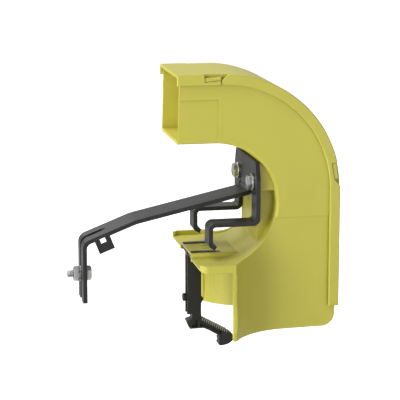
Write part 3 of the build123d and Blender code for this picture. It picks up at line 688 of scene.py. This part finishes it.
# %% Ribs of the claw
BEAM_START, BEAM_START_Z = -4.9, -99.5


def rib_skin(x_start, x_end, drop, half_width, stations=230, columns=40):
    """Ring of points across the beam at each station: a flattened oval, which stands up
    and out by a raised cosine of the distance along the beam."""
    roundness, bulge, blunt = 0.35, 0.35, 0.7
    base, crest, edge, skirt = 0.12, 0.75, 0.25, 1.9
    x = np.linspace(x_start, x_end, stations)[:, None]
    round_turn = np.linspace(0, 2 * math.pi, columns, endpoint=False)[None, :]
    wave = (0.5 + 0.5 * np.cos(2 * math.pi * (x - FIRST_RIB) / RIB_PITCH)) ** blunt
    flat = np.abs(np.cos(round_turn)) ** roundness
    y = (half_width + bulge * wave) * np.sign(np.cos(round_turn)) * flat
    up = np.sign(np.sin(round_turn)) * np.abs(np.sin(round_turn)) ** roundness
    height = up * np.where(up > 0, base + crest * wave + edge * flat**8, skirt)
    slope = math.atan(BEAM_FALL)
    below = drop + (x - BEAM_START) * BEAM_FALL
    points_x = x + height * math.sin(slope)
    points_z = BEAM_START_Z - below + height * math.cos(slope)
    return np.stack(np.broadcast_arrays(points_x, y, points_z), axis=-1)


ribs = rib_skin(x_start=-4.6, x_end=17.6, drop=4.3, half_width=4.95)
points, faces = close_ends(ribs, ribs[0].mean(axis=0), ribs[-1].mean(axis=0))
make_piece("claw_ribs", points, faces, rib_black, 40.0)

# %% [markdown]
# The free edges of the trumpet are thickened to a round bead, so that fibre leaving over
# them isn't bent round a sharp corner. It could be a curve with a round section, but a
# curve has one thickness and this bead is wider than it is deep. So an oval is carried
# down a straight path, and it shrinks to a point over the last millimetres.

# %% Beads of the mouth
def bead(y, z_top, z_bottom, middle_x, half_x, half_y, top_round=1.5, bottom_round=2.6):
    """Ovals down the edge; near the ends their size is the height of a circle's arc."""
    smallest = 0.02
    top_angles = np.linspace(0.1, math.pi / 2, 8)
    bottom_angles = np.linspace(0, math.pi / 2 - 0.1, 10)
    z = np.concatenate([
        z_top - top_round * (1 - np.cos(top_angles)),
        np.linspace(z_top - 2.0, z_bottom + 3.0, 12),
        z_bottom + bottom_round * (1 - np.sin(bottom_angles)),
    ])[:, None]
    from_top, from_bottom = (z_top - z) / top_round, (z - z_bottom) / bottom_round
    size = np.sqrt(1 - (1 - np.clip(from_top, smallest, 1)) ** 2)
    size = size * np.sqrt(1 - (1 - np.clip(from_bottom, smallest, 1)) ** 2)
    turn = np.linspace(0, 2 * math.pi, 32, endpoint=False)[None, :]
    x = middle_x + size * half_x * np.cos(turn)
    side_y = y + size * half_y * np.sin(turn)
    return np.stack(np.broadcast_arrays(x, side_y, z), axis=-1)


for side, y in (("near", -66.2), ("far", 66.2)):
    rings = bead(y, z_top=-50.0, z_bottom=-107.2, middle_x=11.0, half_x=2.1, half_y=1.8)
    points, faces = close_ends(rings, rings[0].mean(axis=0), rings[-1].mean(axis=0))
    make_piece("mouth_bead_" + side, points, faces, duct_yellow, 50.0)

# %% [markdown]
# The studio is a pale floor, a white surround and six soft boxes. The strongest stands
# at the left, so faces that look left are the brightest and the flare shades the side
# wall behind it. A box could be one large window, but six small ones can be set apart
# until each face has the level of the real picture.

# %% Soft boxes
BOX_SIDE = 0.9
BOX_DISTANCE = 1.7


def soft_lamp(name, place, aim, side, watts):
    """Square soft box at place, turned towards aim."""
    data = bpy.data.lights.new(name, "AREA")
    data.shape = "SQUARE"
    data.size = side
    data.energy = watts
    lamp = bpy.data.objects.new(name, data)
    lamp.location = place
    away = np.subtract(place, aim)
    flat = math.hypot(away[0], away[1])
    lamp.rotation_euler = (math.atan2(flat, away[2]), 0.0, math.atan2(away[0], -away[1]))
    lamp.visible_camera = False
    bpy.context.scene.collection.objects.link(lamp)


def lamp_round(azimuth, elevation):
    """Place of a lamp: the azimuth turns from the front of the part towards its right."""
    turn, rise = math.radians(azimuth), math.radians(elevation)
    away = (math.sin(turn) * math.cos(rise), -math.cos(turn) * math.cos(rise), math.sin(rise))
    return tuple(middle[i] + BOX_DISTANCE * away[i] for i in range(3))


# Azimuth and elevation in degrees, and power in watts.
lamps = {
    "left_box": (-58, 6, 15.4),
    "left_top_box": (-60, 62, 9.5),
    "right_front_box": (28, -12, 8.8),
    "left_side_box": (-95, 38, 5.0),
    "left_back_box": (-150, 38, 9.0),
    "right_back_box": (150, 42, 3.0),
}
for name, (azimuth, elevation, watts) in lamps.items():
    soft_lamp(name, lamp_round(azimuth, elevation), middle, BOX_SIDE, watts)
print("lamps:", len(lamps))

# %% [markdown]
# The background is plain white. More light could make it so, but that would bleach the
# part. So the floor and the surround are white for the rays that come from the camera
# only, and the surround gives much less as a light. Gloss sees it at a level between
# the two: in full white the black steel would look grey.

# %% Surround
ROOM_LIGHT = 0.134
MIRRORED_LIGHT = 0.46
SEEN_WHITE = 1.0
LEVEL_SHARE, LEVEL_LOW, LEVEL_HIGH = 0, 2, 3


def seen_level(nodes, plain, mirrored, seen):
    """Level of a background: plain as a light, mirrored in gloss, seen by the camera."""
    level = plain
    for ray, strength in (("Is Glossy Ray", mirrored), ("Is Camera Ray", seen)):
        is_ray = nodes.node("ShaderNodeLightPath", output=ray)
        sockets = {LEVEL_SHARE: is_ray, LEVEL_LOW: level, LEVEL_HIGH: strength}
        level = nodes.node("ShaderNodeMix", {}, sockets)
    return level


world = bpy.data.worlds.new("surround")
world.use_nodes = True
bpy.context.scene.world = world
air = Nodes(world.node_tree)
surround = air.tree.nodes["Background"].inputs
air.join(surround["Color"], (1.0, 1.0, 1.0))
air.join(surround["Strength"], seen_level(air, ROOM_LIGHT, MIRRORED_LIGHT, SEEN_WHITE))
print("the surround gives", ROOM_LIGHT, "of white as a light and", MIRRORED_LIGHT, "in gloss")

# %% [markdown]
# The floor is a wide pale sheet a little below the part. It could be left out and the
# background would look the same, but a real floor sends light of the lamps up under the
# shelf and the bend. It is so wide that its edge is never seen.

# %% Floor
FLOOR_WHITE = 0.96
FLOOR_HALF = 6.0
FLOOR_DROP = 0.10
floor_z = cad_low.z - FLOOR_DROP
floor_mesh = bpy.data.meshes.new("floor")
corners = np.array([(-1, -1, 0), (1, -1, 0), (1, 1, 0), (-1, 1, 0)]) * FLOOR_HALF
floor_mesh.from_pydata((corners + [0, 0, floor_z]).tolist(), [], [(0, 1, 2, 3)])
floor = bpy.data.objects.new("floor", floor_mesh)
bpy.context.scene.collection.objects.link(floor)
floor_finish = Finish(
    "pale_floor", base_color=(0.8, 0.8, 0.8), roughness=0.9,
    specular_ior_level=0.0, emission_strength=1.0,
)
floor_finish.set(emission_color=seen_level(floor_finish, 0.0, 0.0, FLOOR_WHITE))
floor_mesh.materials.append(floor_finish.material)

bpy.context.scene.view_settings.view_transform = "Standard"
print("floor height in metres:", round(floor_z, 4))

# %% [markdown]
# The dressed part must not be larger than its construction.
